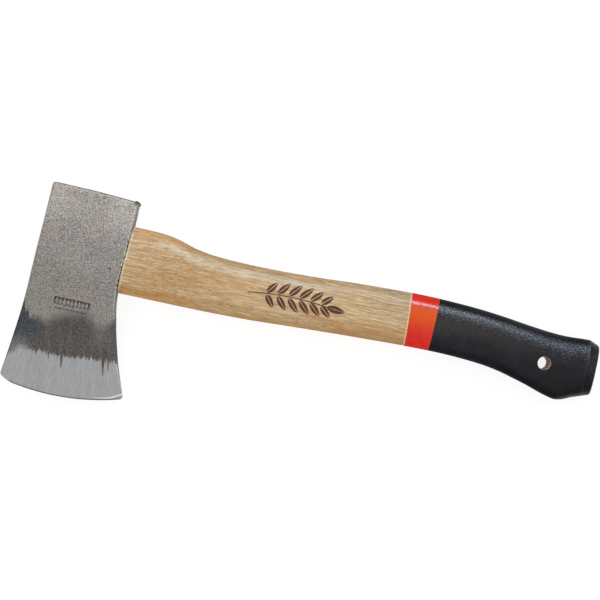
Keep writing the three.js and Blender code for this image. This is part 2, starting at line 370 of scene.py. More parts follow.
head_tree = surface("head")
head_points = vertices_of("head")
TOE = head_points[head_points[:, 0].argmin()]
HEEL = head_points[head_points[:, 0].argmax()]
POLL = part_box("head")[1].y


def measured_side(y, outward):
    """X of the head's front (outward -1) or back (outward +1) at y, found through the wall round the eye."""
    z = WALL_Z * max(0, 1 - abs(y / EYE_REACH) ** SECTION_POWER) ** (1 / SECTION_POWER)
    return seen_from(head_tree, (outward, y, MID + z), (-outward, 0, 0)).x


def side_curve(outward, end):
    """X along one side of the head, from the start of the poll's rounding down to its extreme point."""
    ys = np.linspace(POLL - 2.5 * MM, end[1] + 0.5 * MM, 240)
    xs = smoothed([measured_side(y, outward) for y in ys], 30)
    ys, xs = np.append(ys, end[1]), np.append(xs, end[0])
    slope = (xs[20] - xs[0]) / (ys[20] - ys[0])

    def at(y):
        return np.interp(-y, -ys, xs) + slope * np.maximum(y - ys[0], 0)

    return at


front_side = side_curve(-1, TOE)
back_side = side_curve(1, HEEL)

edge_xs = np.linspace(TOE[0], HEEL[0], 500)
edge_ys = [seen_from(head_tree, (x, -1, MID), (0, 1, 0)).y for x in edge_xs[1:-1]]
edge_ys = smoothed([TOE[1], *edge_ys, HEEL[1]], 4)


def circle_through(points):
    """The centre and radius of the circle through three points."""
    (ax, ay), (bx, by), (cx, cy) = points
    rows = np.array([[bx - ax, by - ay], [cx - ax, cy - ay]])
    sums = np.array([bx * bx - ax * ax + by * by - ay * ay, cx * cx - ax * ax + cy * cy - ay * ay])
    centre = np.linalg.solve(rows, sums / 2)
    return centre, float(np.hypot(ax - centre[0], ay - centre[1]))


edge_samples = [(x, np.interp(x, edge_xs, edge_ys)) for x in EDGE_SAMPLES]
EDGE_CENTRE, EDGE_RADIUS = circle_through(edge_samples)


def from_edge(x, y):
    """How far a point of the cheek lies from the cutting edge."""
    return EDGE_RADIUS - np.hypot(x - EDGE_CENTRE[0], y - EDGE_CENTRE[1])


sounding_ys = np.linspace(-92 * MM, POLL - 0.5 * MM, 300)
sounding_ys = sounding_ys[from_edge(SOUNDING_X, sounding_ys) > 0.5 * MM]
sounding = [seen_from(head_tree, (SOUNDING_X, y, 1), (0, 0, -1)).z - MID for y in sounding_ys]
sounding = smoothed(sounding, 60)


def half_thickness(x, y):
    """Half the head's thickness: by the distance from the edge on the blade, and by y towards the poll."""
    distance = from_edge(x, y)
    blade = np.interp(distance, from_edge(SOUNDING_X, sounding_ys), sounding)
    body = np.where(y > 0, np.interp(y, sounding_ys, sounding), blade)
    return soft_min(body, EDGE_HALF + EDGE_SLOPE * np.maximum(distance, 0), 0.05 * MM)


eye_xs = np.linspace(*EYE_SAMPLES, 12)
eye_tops = [seen_from(head_tree, (x, 0, MID), (0, 1, 0)).y for x in eye_xs]
eye_sides = [seen_from(head_tree, (x, 0, MID), (0, 0, 1)).z - MID for x in eye_xs]
eye_curve = curve_through(eye_xs, np.stack([eye_tops, eye_sides], axis=1))


def eye_oval(x, grow=0.0, scale=1.0):
    """The eye's section at x, grown on all sides, then scaled towards its middle."""
    high, wide = eye_curve(x)[0]
    return oval(x, 0, (high + grow) * scale, (wide + grow) * scale, EYE_POWER)


# ---- Head ----

COLUMNS = spaced((0, 0.015, 5), (0.015, 0.08, 9), (0.08, 0.295, 18), (0.295, 0.715, 112),
                 (0.715, 0.92, 18), (0.92, 0.985, 9), (0.985, 1, 5))
BODY_ROWS = spaced((0.0121, 0.05, 8), (0.05, 0.55, 62), (0.55, 0.63, 48), (0.63, 0.95, 50), (0.95, 1, 16))
QUARTER = np.linspace(0, math.pi / 2, 6)
WALL = np.linspace(1, -1, 9)[1:-1]


def row_y(x, share):
    """Y along the head's row at share of the way from the poll (0) to the cutting edge (1)."""
    front_y = POLL + (TOE[1] - POLL) * share
    back_y = POLL + (HEEL[1] - POLL) * share
    low, high = front_side(front_y), back_side(back_y)
    across = np.clip((x - low) / (high - low), 0, 1)
    chord = front_y + (back_y - front_y) * across
    edge_x = TOE[0] + (HEEL[0] - TOE[0]) * across
    bulge = np.interp(edge_x, edge_xs, edge_ys) - (TOE[1] + (HEEL[1] - TOE[1]) * across)
    struck = POLL_SLOPE * x + POLL_SAG * x * x
    return chord + bulge * share**3 + struck * (1 - share) ** 6


def head_loop(share, inset, flat):
    """One closed loop round the head. inset draws it in for a rounded rim, and flat scales its thickness."""
    low = front_side(POLL + (TOE[1] - POLL) * share) + inset
    high = back_side(POLL + (HEEL[1] - POLL) * share) - inset

    def half_at(x):
        return half_thickness(x, row_y(x, share)) - inset

    rim_low = min(RIM, 0.6 * float(half_at(low + RIM)))
    rim_high = min(RIM, 0.6 * float(half_at(high - RIM)))
    half_low, half_high = float(half_at(low + rim_low)), float(half_at(high - rim_high))
    upper = low + rim_low + (high - low - rim_low - rim_high) * COLUMNS
    under = upper[::-1]
    turn = QUARTER[1:]
    back = high - rim_high * (1 - np.sin(turn))
    back_z = half_high - rim_high * (1 - np.cos(turn))
    front = low + rim_low * (1 - np.sin(turn))
    front_z = half_low - rim_low * (1 - np.cos(turn))
    back_wall, front_wall = np.full(len(WALL), high), np.full(len(WALL), low)
    xs = [upper, back, back_wall, back[::-1], under, front, front_wall, front[::-1]]
    zs = [half_at(upper), back_z, WALL * back_z[-1], -back_z[::-1],
          -half_at(under), -front_z, -WALL * front_z[-1], front_z[::-1]]
    x, z = np.concatenate(xs), np.concatenate(zs) * flat
    y = row_y(x, share)
    if share == 0:
        y += POLL_CROWN * (1 - flat**2)
    return np.stack([x, y, MID + z], axis=1)


POLL_CORNER = (back_side(POLL), row_y(back_side(POLL), 0))


def stamp_height(x, y):
    """The stamp's height over the cheek: a sunk panel holding raised diamonds, with a row of dots below."""
    u, v = x - STAMP_MIDDLE.x, y - STAMP_MIDDLE.y
    outside = max(abs(u) - STAMP_HALF.x, abs(v) - STAMP_HALF.y)
    panel = 1 - smooth_step(outside, -STAMP_SOFT, STAMP_SOFT)
    row_half = STAMP_HALF.x - PANEL_EDGE
    pitch = 2 * row_half / DIAMONDS
    in_pitch = (u + row_half) % pitch - pitch / 2
    diamond = abs(in_pitch) / (DIAMOND_WIDE * pitch) + abs(v) / (DIAMOND_HIGH * STAMP_HALF.y)
    raised = (1 - smooth_step(diamond, 0.75, 1.05)) * (abs(u) < row_half)
    height = -STAMP_DEPTH * panel * (1 - 0.85 * raised)
    radius = DOT_ROW["radius"]
    if abs(y - DOT_ROW["y"]) < 3 * radius and abs(u) < DOT_ROW["half"]:
        gap = 2 * DOT_ROW["half"] / DOT_ROW["count"]
        away = math.hypot((u + DOT_ROW["half"]) % gap - gap / 2, y - DOT_ROW["y"])
        height -= DOT_ROW["depth"] * (1 - smooth_step(away, 0.4 * radius, 1.6 * radius))
    return height


def forged_height(p):
    """How far the forged skin stands above or below a true surface, at a point in metres."""
    q = p / MM
    rough = smooth_step(from_edge(p.x, p.y), GROUND_DEPTH - 1 * MM, GROUND_DEPTH + 8 * MM)
    waves = 0.14 * noise.noise(q * 0.06) + 0.07 * noise.noise(q * 0.21) + 0.035 * noise.noise(q * 0.8)
    height = waves * rough * MM
    if p.z > MID:
        height += stamp_height(p.x, p.y)
    corner = math.hypot(p.x - POLL_CORNER[0], p.y - POLL_CORNER[1])
    ragged = 0.7 + noise.noise(Vector((0, 0, q.z * 0.4)))
    height += BURR * (1 - smooth_step(corner, BURR_CORE, BURR_REACH)) * ragged
    nick = max(0.0, noise.noise(q * 0.5 + Vector((7, 0, 0))) - 0.25)
    rim = smooth_step(p.x, back_side(p.y) - 1.5 * MM, back_side(p.y) - 0.4 * MM) * (p.y > -40 * MM)
    return height - NICK * nick * rim


def make_head(material):
    across = np.linspace(0, 1, 9)
    loops = [head_loop(0, POLL_ROUND, flat) for flat in across]
    loops += [
        head_loop(POLL_ROUND * (1 - math.cos(turn)) / (POLL - TOE[1]), POLL_ROUND * (1 - math.sin(turn)), 1)
        for turn in QUARTER[1:]
    ]
    loops += [head_loop(share, 0, 1) for share in BODY_ROWS[1:]]
    middle_of_edge = head_loop(1, 0, 0)
    middle_of_edge[:, 1] -= EDGE_PEAK
    loops.append(middle_of_edge)
    head = loft("forged_head", loops)
    relief(head, forged_height)
    xs = spaced((-36 * MM, 36 * MM, 72))
    front, back = front_side(0), back_side(0)
    growth = np.maximum(0, front + EYE_CHAMFER - xs) + np.maximum(0, xs - back + EYE_CHAMFER)
    tool = [eye_oval(xs[0], scale=0), *(eye_oval(x, grow) for x, grow in zip(xs, growth))]
    cut(head, loft("eye_tool", [*tool, eye_oval(xs[-1], scale=0)]))
    finish_piece(head, "head", material)


# ---- Handle and its coats ----

EYE_TOP = front_side(0) + TONGUE_INSET
SHOULDER = back_side(0) + FIT
SHOULDER_LEAN = float(back_side(18 * MM) - back_side(-18 * MM)) / (36 * MM)


def lean(points):
    """Skews points along X, so that cuts across the handle follow the head's sides and the coats' edges."""
    x, y = points[..., 0], points[..., 1]
    at_front = np.clip(x / EYE_TOP, 0, 1)
    at_back = np.interp(x, [0, SHOULDER, SHOULDER + LEAN_REACH], [0, 1, 0])
    slope = np.interp(x, [BAND_LOW - LEAN_REACH, BAND_LOW, JOINT, JOINT + LEAN_REACH], [0, *BAND_LEAN, 0])
    moved = points.copy()
    moved[..., 0] += (
        (front_side(y) - front_side(0)) * at_front + (back_side(y) - back_side(0)) * at_back + slope * y
    )
    return moved


def cap(loop_at):
    """Loops that close an end, from its middle outwards."""
    return [loop_at(share) for share in CAP_SHARES]


def coat_rows(low, high, closed_end):
    """(x, inset) along a coat's outer face between two edges, with a rounded lip at each open edge."""
    lip = [(low + LIP * (1 - math.cos(t)), LIP * (1 - math.sin(t)) - COAT_PROUD) for t in QUARTER]
    if closed_end:
        xs = spaced((low + MM, BEVEL_START - MM, 96), (BEVEL_START - MM, BEVEL_START + MM, 10),
                    (BEVEL_START + MM, high - 0.5 * MM, 5))
        return [*lip, *((x, -COAT_PROUD) for x in xs)]
    body = [(x, -COAT_PROUD) for x in np.arange(low + MM, high - 0.5 * MM, MM)]
    return [*lip, *body, *((high + low - x, inset) for x, inset in reversed(lip))]


def hole_tool():
    """The hanging hole, flared where it meets the grip's surface."""
    face = surface_height(HOLE_X, HOLE_Y) + COAT_PROUD
    zs = [face - HOLE_FLARE * (1 - math.sin(turn)) for turn in QUARTER]
    radii = [HOLE_RADIUS + HOLE_FLARE * (1 - math.cos(turn)) for turn in QUARTER]
    above = face + CLEAR
    half = [(0, HOLE_RADIUS), *zip(zs, radii), (above, radii[-1]), (above, 0)]
    profile = [(-z, radius) for z, radius in reversed(half[1:])] + half
    loops = [
        [(HOLE_X + radius * math.cos(a), HOLE_Y + radius * math.sin(a), MID + z) for a in ANGLES]
        for z, radius in profile
    ]
    return loft("hole_tool", loops)


def surface_height(x, y):
    """How far the bare handle's upper side stands above its middle plane at (x, y)."""
    top, bottom, wide = handle_size(x)[0]
    share = min(1.0, abs(y - (top + bottom) / 2) / ((top - bottom) / 2))
    return wide * (1 - share**SECTION_POWER) ** (1 / SECTION_POWER)


def wedge_tool(name, low, high, allowance, half_height):
    """The wooden wedge's taper as a closed skin, grown by an allowance."""
    top_z = (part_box("wooden_wedge")[1].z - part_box("wooden_wedge")[0].z) / 2
    tip_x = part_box("wooden_wedge")[1].x
    loops = []
    for x in np.linspace(low, high, 24):
        wide = np.interp(x, [EYE_TOP, tip_x], [top_z, WEDGE_TIP]) + allowance
        loops.append(oval(x, 0, half_height(x) + allowance, wide, WEDGE_POWER))
    ends = [[(loop[0][0], 0, MID)] * AROUND for loop in (loops[0], loops[-1])]
    return loft(name, lean(np.array([ends[0], *loops, ends[1]])))


def ring_skin(name, allowance, top):
    """The ring wedge: a tube that tapers to a cutting edge, turned about the eye's axis."""
    low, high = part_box("ring_wedge")
    outer = (high.y - low.y) / 2 + allowance
    inner = outer - RING_WALL - 2 * allowance
    end = high.x + allowance
    profile = [
        (top, inner + RING_SOFT), (top, outer - RING_SOFT), (top + RING_SOFT, outer),
        (low.x + RING_BARREL, outer - RING_DRAFT), (end, inner + 2 * allowance + RING_EDGE),
        (end, inner), (top + RING_SOFT, inner),
    ]
    loops = [[(x, r * math.cos(a), MID + r * math.sin(a)) for x, r in profile] for a in ANGLES]
    return loft(name, loops, ring=True)


def wood_height(p):
    """The slow unevenness of a hand-sanded handle."""
    q = p / MM
    drawn_out = Vector((q.x * 0.08, q.y * 0.5, q.z * 0.5))
    return MM * (0.10 * noise.noise(q * 0.035) + 0.02 * noise.noise(drawn_out))


def grip_height(p):
    """The lacquer's runs and pebbles, over the same unevenness as the wood's."""
    q = p / MM
    return wood_height(p) + MM * 0.018 * noise.noise(q * 0.9)


def wedge_half_height(x):
    return WEDGE_HEIGHT * float(eye_curve(x)[0][0]) - FIT


def make_handle(material):
    loops = cap(lambda share: eye_oval(EYE_TOP - TONGUE_CROWN * (1 - share**2), -FIT, share))
    loops += [eye_oval(x, -FIT) for x in np.linspace(EYE_TOP, SHOULDER, 20)]
    r = SHOULDER_ROUND
    loops += [handle_oval(SHOULDER + r * (1 - math.cos(t)), r * (1 - math.sin(t))) for t in QUARTER]
    loops += [handle_oval(x) for x in np.linspace(SHOULDER + r, BAND_LOW - FIT, 170)[1:]]
    end = BUTT - TURNED_DOWN
    loops += [handle_oval(x, TURNED_DOWN) for x in np.linspace(BAND_LOW - FIT, end, 70)]
    loops += cap(lambda share: handle_oval(end, TURNED_DOWN, share))[::-1]
    handle = loft("ash_handle", lean(np.array(loops)))
    relief(handle, wood_height)
    cut(handle, wedge_tool("kerf_tool", EYE_TOP - CLEAR, KERF_END, FIT, lambda x: KERF_HALF))
    cut(handle, ring_skin("groove_tool", FIT, EYE_TOP - CLEAR))
    cut(handle, hole_tool())
    finish_piece(handle, "handle", material)


def make_wedge(material):
    tip_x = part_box("wooden_wedge")[1].x
    wedge = wedge_tool("kerf_wedge", EYE_TOP - WEDGE_PROUD, tip_x, 0, wedge_half_height)
    cut(wedge, ring_skin("groove_tool", FIT, EYE_TOP - CLEAR))
    finish_piece(wedge, "wooden_wedge", material)


def make_ring(material):
    ring = ring_skin("round_ring_wedge", 0, EYE_TOP - RING_PROUD)
    finish_piece(ring, "ring_wedge", material)


def make_band(material):
    outer = coat_rows(BAND_LOW, JOINT - FIT / 2, closed_end=False)
    inner = [(x, COAT_DEPTH) for x in np.linspace(JOINT - FIT / 2, BAND_LOW, 12)]
    loops = np.array([handle_oval(x, inset) for x, inset in outer + inner])
    band = loft("red_band", lean(loops), ring=True)
    relief(band, wood_height)
    finish_piece(band, "signal_band", material)


def make_grip(material):
    start = JOINT + FIT / 2
    inner_end = BUTT - COAT_DEPTH
    loops = cap(lambda share: handle_oval(inner_end, COAT_DEPTH, share))
    loops += [handle_oval(x, COAT_DEPTH) for x in np.linspace(inner_end, start, 60)]
    r = BUTT_ROUND
    loops += [handle_oval(x, inset) for x, inset in coat_rows(start, BUTT - r, closed_end=True)]
    loops += [
        handle_oval(BUTT - r * (1 - math.sin(t)), r * (1 - math.cos(t)) - COAT_PROUD) for t in QUARTER
    ]
    loops += cap(lambda share: handle_oval(BUTT, r - COAT_PROUD, share))[::-1]
    grip = loft("black_grip", lean(np.array(loops)))
    relief(grip, grip_height)
    cut(grip, hole_tool())
    finish_piece(grip, "grip_coating", material)


# ---- Printed mark: a generic sprig of ash leaves ----


def ink_patch(outline, middle):
    """A thin closed skin over the handle's upper side, from an outline round a middle line of points."""
    rows = np.stack([outline[0], middle, outline[1]], axis=1)
    steps, across = rows.shape[:2]
    layers = []
    for lift in (INK_HEIGHT, -INK_DEPTH):
        for x, y in rows.reshape(-1, 2):
            p = Vector((x, y, MID + surface_height(x, y)))
            layers.append((x, y, p.z + wood_height(p) + lift))
    faces = []
    under = steps * across
    for i in range(steps - 1):
        for j in range(across - 1):
            a, b, c, d = i * across + j, i * across + j + 1, (i + 1) * across + j + 1, (i + 1) * across + j
            faces += [(a, b, c, d), (under + d, under + c, under + b, under + a)]
        for j in (0, across - 1):
            a, b = i * across + j, (i + 1) * across + j
            faces.append((a, b, under + b, under + a))
    for i in (0, steps - 1):
        for j in range(across - 1):
            a, b = i * across + j, i * across + j + 1
            faces.append((a, under + a, under + b, b))
    return layers, faces


def leaf_outline(base, tip, width):
    """A pointed leaf's middle line from base to tip, and its two edges."""
    along = tip - base
    across = np.array([-along[1], along[0]]) / np.hypot(*along)
    t = np.linspace(0.02, 0.985, 22)[:, None]
    wide = width / 2 * np.sin(math.pi * t**0.8) ** 0.75
    middle = base + along * t
    return middle, middle + across * wide, middle - across * wide


def beside_midrib(middle, edge):
    """A line just off a leaf's middle line, towards its edge but never past it."""
    away = abs(edge - middle).max(axis=1)[:, None]
    return middle + (edge - middle) * np.minimum(1, MIDRIB_HALF / (away + 1e-9))


def stem_at(t):
    """A point of the sprig's bowed stem, from its foot (0) to its tip (1)."""
    bow = SPRIG_BOW * (4 * t * (1 - t) - 0.5)
    return np.array([SPRIG_LOW + (SPRIG_HIGH - SPRIG_LOW) * t, SPRIG_Y + bow])


def make_print(material):
    """The sprig: a stem with leaflets in pairs and one at its end, each split along its midrib."""
    leaves = []
    for i in range(LEAF_PAIRS):
        base = stem_at(0.2 + 0.62 * i / (LEAF_PAIRS - 1))
        length = LEAF_LENGTH * (0.8 + 0.3 * math.sin(math.pi * (i + 1) / (LEAF_PAIRS + 1)))
        for side in (-1, 1):
            turn = side * math.radians(52 - 2 * i)
            outward = np.array([math.cos(turn), math.sin(turn)])
            leaves.append((base + LEAF_GAP * outward, base + length * outward, LEAF_WIDTH))
    leaves.append((stem_at(0.9), stem_at(0.9) + END_LEAF, LEAF_WIDTH * 1.15))
    patches = []
    for base, tip, width in leaves:
        middle, *edges = leaf_outline(base, tip, width)
        for edge in edges:
            gap = beside_midrib(middle, edge)
            patches.append(ink_patch((gap, edge), (gap + edge) / 2))
    line = np.array([stem_at(t) for t in np.linspace(0, 0.93, 60)])
    half = np.array([0.0, STEM_HALF])
    patches.append(ink_patch((line + half, line - half), line))
    vertices, faces = [], []
    for layers, patch in patches:
        faces += [[len(vertices) + i for i in face] for face in patch]
        vertices += layers
    sprig = mesh_object("leaf_print", vertices, faces)
    finish_piece(sprig, None, material)


# ---- Materials ----


def colour(code):
    """A colour for a node, from its web code."""
    parts = [int(code[i : i + 2], 16) / 255 for i in (1, 3, 5)]
    return (*(c / 12.92 if c <= 0.04045 else ((c + 0.055) / 1.055) ** 2.4 for c in parts), 1)


def operator(operation):
    """One of Python's operators as a method of Value."""
    return lambda self, other: self.maker.math(operation, self, other)


class Value:
    """A number at each point of a surface. Python's operators on it add Math nodes."""

    def __init__(self, maker, socket):
        self.maker, self.socket = maker, socket

    def __abs__(self):
        return self.maker.math("ABSOLUTE", self)

    def __rsub__(self, other):
        return self.maker.math("SUBTRACT", other, self)

    __sub__ = operator("SUBTRACT")
    __add__ = __radd__ = operator("ADD")
    __mul__ = __rmul__ = operator("MULTIPLY")


class Nodes:
    """Adds nodes to a tree."""

    def __init__(self, tree):
        self.tree = tree

    def split(self, vector):
        """The x, y and z of a vector."""
        return (Value(self, socket) for socket in self.node("SeparateXYZ", vector).outputs)

    def node(self, kind, *inputs, **settings):
        """A new node. Settings with a capital letter are its sockets, and the others its properties."""
        made = self.tree.nodes.new("ShaderNode" + kind)
        for key, value in settings.items():
            if key[0].islower():
                setattr(made, key, value)
        for socket, value in zip(made.inputs, inputs):
            self.feed(socket, value)
        for key, value in settings.items():
            if key[0].isupper():
                self.feed(made.inputs[key.replace("_", " ")], value)
        return made

    def feed(self, socket, value):
        """Links or sets a socket. A text is a colour's web code."""
        if isinstance(value, str):
            value = colour(value)
        if isinstance(value, Value):
            value = value.socket
        if isinstance(value, bpy.types.NodeSocket):
            self.tree.links.new(value, socket)
        else:
            socket.default_value = value

    def math(self, operation, *values):
        return Value(self, self.node("Math", *values, operation=operation).outputs[0])

    def ramp(self, value, low, high, start=0.0, end=1.0):
        """Start where value is under low, end where it is over high, and a smooth step between."""
        made = self.node(
            "MapRange", value, low, high, start, end, interpolation_type="SMOOTHSTEP", clamp=True
        )
        return Value(self, made.outputs[0])


class Maker(Nodes):
    """Makes one material. Places and the sizes of patterns are in millimetres of object space."""

    def __init__(self, name, **constants):
        self.material = bpy.data.materials.new(name)
        self.material.use_nodes = True
        super().__init__(self.material.node_tree)
        self.shader = self.tree.nodes["Principled BSDF"]
        for socket, value in constants.items():
            self.shader.inputs[socket.replace("_", " ")].default_value = value
        coordinates = self.node("TexCoord").outputs["Object"]
        self.place = self.node("VectorMath", coordinates, operation="SCALE", Scale=1 / MM).outputs[0]
        self.x, self.y, self.z = self.split(self.place)
        self.facing_x, self.facing_y, self.facing_z = self.split(self.node("NewGeometry").outputs["Normal"])

    def point(self, x, y, z):
        return self.node("CombineXYZ", x, y, z).outputs[0]

    def noise(self, scale, detail=2, at=None, stretch=(1, 1, 1), rough=0.5):
        """Noise about 0.5, with features 1/scale apart. A low stretch draws it out along its axis."""
        at = at or self.place
        if stretch != (1, 1, 1):
            at = self.node("VectorMath", at, stretch, operation="MULTIPLY").outputs[0]
        made = self.node("TexNoise", Vector=at, Scale=scale, Detail=detail, Roughness=rough)
        return Value(self, made.outputs[0])

    def vary(self, noise, start=0.0, end=1.0):
        """From start to end over the range that noise mostly keeps to."""
        return self.ramp(noise, 0.3, 0.7, start, end)

    def near(self, value, middle, reach):
        """1 where value is at middle, falling smoothly to 0 at reach from it."""
        return self.ramp(abs(value - middle), 0, reach, 1, 0)

    def away(self, x, y):
        """How far the surface lies from a line through (x, y) that runs along Z."""
        u, v = self.x - x, self.y - y
        return self.math("SQRT", u * u + v * v)

    def along(self, value, points):
        """A smooth curve of value through (place, height) points."""
        total = Value(self, self.node("Value").outputs[0])
        total.socket.default_value = points[0][1]
        for (low, start), (high, end) in zip(points, points[1:]):
            total = total + self.ramp(value, low, high, 0, end - start)
        return total

    def mix(self, amount, first, second):
        made = self.node("Mix", data_type="RGBA")
        for i, value in ((0, amount), (6, first), (7, second)):
            self.feed(made.inputs[i], value)
        return made.outputs[2]

    def shade(self, tone, by):
        """A colour made lighter or darker by a factor."""
        return self.node("VectorMath", tone, operation="SCALE", Scale=by).outputs[0]

    def finish(self, tone, roughness, height, metallic=None):
        """Feeds the shader. Height is in millimetres and goes to a bump."""
        self.feed(self.shader.inputs["Base Color"], tone)
        self.feed(self.shader.inputs["Roughness"], roughness)
        if metallic is not None:
            self.feed(self.shader.inputs["Metallic"], metallic)
        bump = self.node("Bump", Height=height, Distance=MM, Strength=1.0)
        self.feed(self.shader.inputs["Normal"], bump.outputs[0])
        return self.material


def stamp_grime_and_shade(m):
    """1 in the sunk parts of the stamp: dirt that stays there, and painted shade, deepest towards the panel's
    top.
    """
    u, v = m.x - STAMP_MIDDLE.x / MM, m.y - STAMP_MIDDLE.y / MM
    half_u, half_v = STAMP_HALF / MM
    out_u, out_v = abs(u) - half_u, abs(v) - half_v
    panel = m.ramp(m.math("MAXIMUM", out_u, out_v), -0.3, 0.5, 1, 0)
    row_half = half_u - PANEL_EDGE / MM
    pitch = 2 * row_half / DIAMONDS
    in_pitch = abs(m.math("FRACT", (u + row_half) * (1 / pitch)) - 0.5)
    diamond = in_pitch * (1 / DIAMOND_WIDE) + abs(v) * (1 / (DIAMOND_HIGH * half_v))
    raised = m.ramp(diamond, 0.8, 1.15, 1, 0) * m.ramp(out_u, -1.2, -0.8, 1, 0)
    lit_side = m.ramp(v, -half_v, half_v * 0.6, 0.6, 1)
    gap = 2 * DOT_ROW["half"] / DOT_ROW["count"] / MM
    dot_u = (m.math("FRACT", (u + DOT_ROW["half"] / MM) * (1 / gap)) - 0.5) * gap
    dot_v = m.y - DOT_ROW["y"] / MM
    from_dot = m.math("SQRT", dot_u * dot_u + dot_v * dot_v)
    dots = m.ramp(from_dot, 0.4, 1.0, 0.75, 0) * m.ramp(abs(u), 10, 10.5, 1, 0)
    return (panel * (1 - raised) * lit_side + dots) * m.ramp(m.facing_z, 0, 0.3)


def steel():
    m = Maker("forged_steel_skin")
    fan = 0.10 + 0.10 / 30 * m.x  # the grinding streaks fan out slightly across the blade
    across = m.x + fan * (m.y + 70)
    streak_at = m.point(across, m.y * 0.06, m.z * 0.3)
    coarse = m.noise(0.30, 3, at=streak_at)
    fine = m.noise(1.1, 3, at=streak_at)
    hair = m.noise(2.2, 2, at=streak_at)
    grain = m.noise(1.15, 4, rough=0.66)
    grit = m.noise(2.6, 2)

    ground_line = m.along(m.x, GROUND_TOP) + (coarse - 0.5) * 3
    ground_line = ground_line + (fine - 0.5) * 6 + (hair - 0.5) * 5 + (grain - 0.5) * 2
    for x, length, half in DARK_SPIKES:
        ground_line = ground_line - m.near(across, x, half) * length
    soft = m.ramp(m.x, -27, -14, 3.2, 1.0)
    ground = m.ramp(m.y - ground_line, soft * -1, soft, 1, 0)
    dark_line = m.along(m.x, DARK_TOP) + (coarse - 0.5) * 5 + (fine - 0.5) * 8 + (grain - 0.5) * 14
    fade = m.ramp(m.x, -24, -6, 1.5, 5)
    dark = m.ramp(m.y - dark_line, fade * -1, fade, 1, 0) * (1 - ground)

    mottle = m.noise(0.10, 3)
    warm = m.ramp(m.noise(0.07, 2, at=m.point(m.x + 90, m.y, m.z)), 0.42, 0.6)
    skin = m.mix(m.ramp(m.y + (mottle - 0.5) * 30, 0, 34), "#948e88", "#a49c93")
    skin = m.mix(m.ramp(mottle, 0.5, 0.7, 0, 0.35), skin, "#827e7b")
    skin = m.mix(warm * 0.25, skin, "#9f8d82")
    olive = m.ramp(m.noise(0.06, 2, at=m.point(m.x, m.y + 70, m.z)), 0.45, 0.65)
    skin = m.mix(olive * 0.3, skin, "#8d8d80")
    corners = m.ramp(abs(m.x + 1), 6, 22) * m.ramp(m.y, 6, 26)
    lit = (1 + corners * 0.16) * m.vary(grain, 0.49, 1.43) * m.vary(grit, 0.7, 1.3)
    skin = m.shade(skin, lit)
    specks = m.ramp(m.noise(1.5, 2, at=m.point(m.x, m.y + 60, m.z)), 0.62, 0.68)
    skin = m.mix(specks * 0.6, skin, "#dcdad5")
    pits = m.ramp(m.noise(1.2, 3, at=m.point(m.x + 40, m.y, m.z)), 0.64, 0.71)
    pits = m.math("MAXIMUM", pits, m.ramp(m.away(*PIT), 0.5, 1.6, 1, 0))
    skin = m.mix(pits * 0.6, skin, "#4a4542")

    blue = m.ramp(m.x + (coarse - 0.5) * 12, -22, -13, 1, 0) * m.ramp(m.y + (coarse - 0.5) * 8, -62, -56)
    smoke = m.ramp(m.x + (fine - 0.5) * 8, -27, -14, 1, 0) * m.ramp(m.y + (fine - 0.5) * 8, -69, -59, 1, 0)
    scale = m.mix(m.vary(coarse), "#56514e", "#635d59")
    scale = m.mix(m.near(m.x, 22, 10) * m.ramp(m.y, -62, -50) * 0.35, scale, "#7c7874")
    scale = m.mix(blue * 0.8, scale, "#43484d")
    scale = m.mix(smoke * 0.75, scale, "#7f7f84")
    speckle = m.noise(1.2, 3, at=m.point(m.x, m.y * 0.7, m.z + 30), rough=0.66)
    scale = m.shade(scale, m.vary(fine, 0.88, 1.13) * m.ramp(speckle, 0.33, 0.67, 0.62, 1.42))

    lines = m.noise(1.8, 3, at=m.point(across, m.y * 0.09, m.z * 0.3), rough=0.6)
    bright = m.mix(m.vary(coarse), "#9f9fa0", "#a6a6a7")
    bright = m.shade(bright, m.vary(lines, 0.89, 1.11) * m.vary(grain, 0.93, 1.07))
    tone = m.mix(dark, skin, scale)
    tone = m.mix(ground, tone, bright)

    from_edge_line = EDGE_RADIUS / MM - m.away(*(EDGE_CENTRE / MM))
    # Painted highlight along the edge towards the heel, and painted shade on the narrow bevel at the edge.
    edge_highlight = m.near(from_edge_line - m.ramp(m.x, 35, 45, 0, 1.8), 1.35, 0.75) * m.ramp(m.x, 20, 40)
    tone = m.mix(m.ramp(from_edge_line, 0.5, 1.0, 0.7, 0), tone, "#4a4a4d")
    tone = m.mix(edge_highlight, tone, "#f4f0f0")

    sides = m.ramp(abs(m.facing_x), 0.5, 0.85)
    from_middle = abs(m.z - MID / MM)
    # Painted light on the head's narrow sides towards their rims, and painted shade down their middle.
    tone = m.mix(sides * m.ramp(from_middle, 3, 9, 0, 0.6), tone, "#bcb9b5")
    scaled = m.ramp(from_middle + (grain - 0.5) * 14 + (mottle - 0.5) * 8, 1, 6, 0.75, 0.1)
    tone = m.mix(sides * scaled, tone, "#3a3633")
    # Along the upper rim by the wood: dark specks of painted shade, and cream specks.
    rim_speckle = m.noise(0.75, 3, at=m.point(m.x + 20, m.y, m.z * 0.4))  # along the upper rim by the wood
    by_wood = m.ramp(m.facing_x, 0.3, 0.6) * m.ramp(abs(m.y), 19, 25, 1, 0.4) * (1 - ground)
    by_wood = by_wood * m.ramp(m.z - MID / MM, 6, 9)
    tone = m.mix(by_wood * m.ramp(rim_speckle, 0.5, 0.56), tone, "#241f1b")
    tone = m.mix(by_wood * m.ramp(rim_speckle, 0.4, 0.46, 0.8, 0), tone, "#d9ccb4")
    # Painted highlight along the rounded rims, broken up by grain as wear.
    rim = m.near(abs(m.facing_z), 0.75, 0.25) * (1 - ground) * (1 - dark)
    tone = m.mix(rim * m.ramp(grain, 0.4, 0.56, 0.1, 0.9), tone, "#e2dfd9")
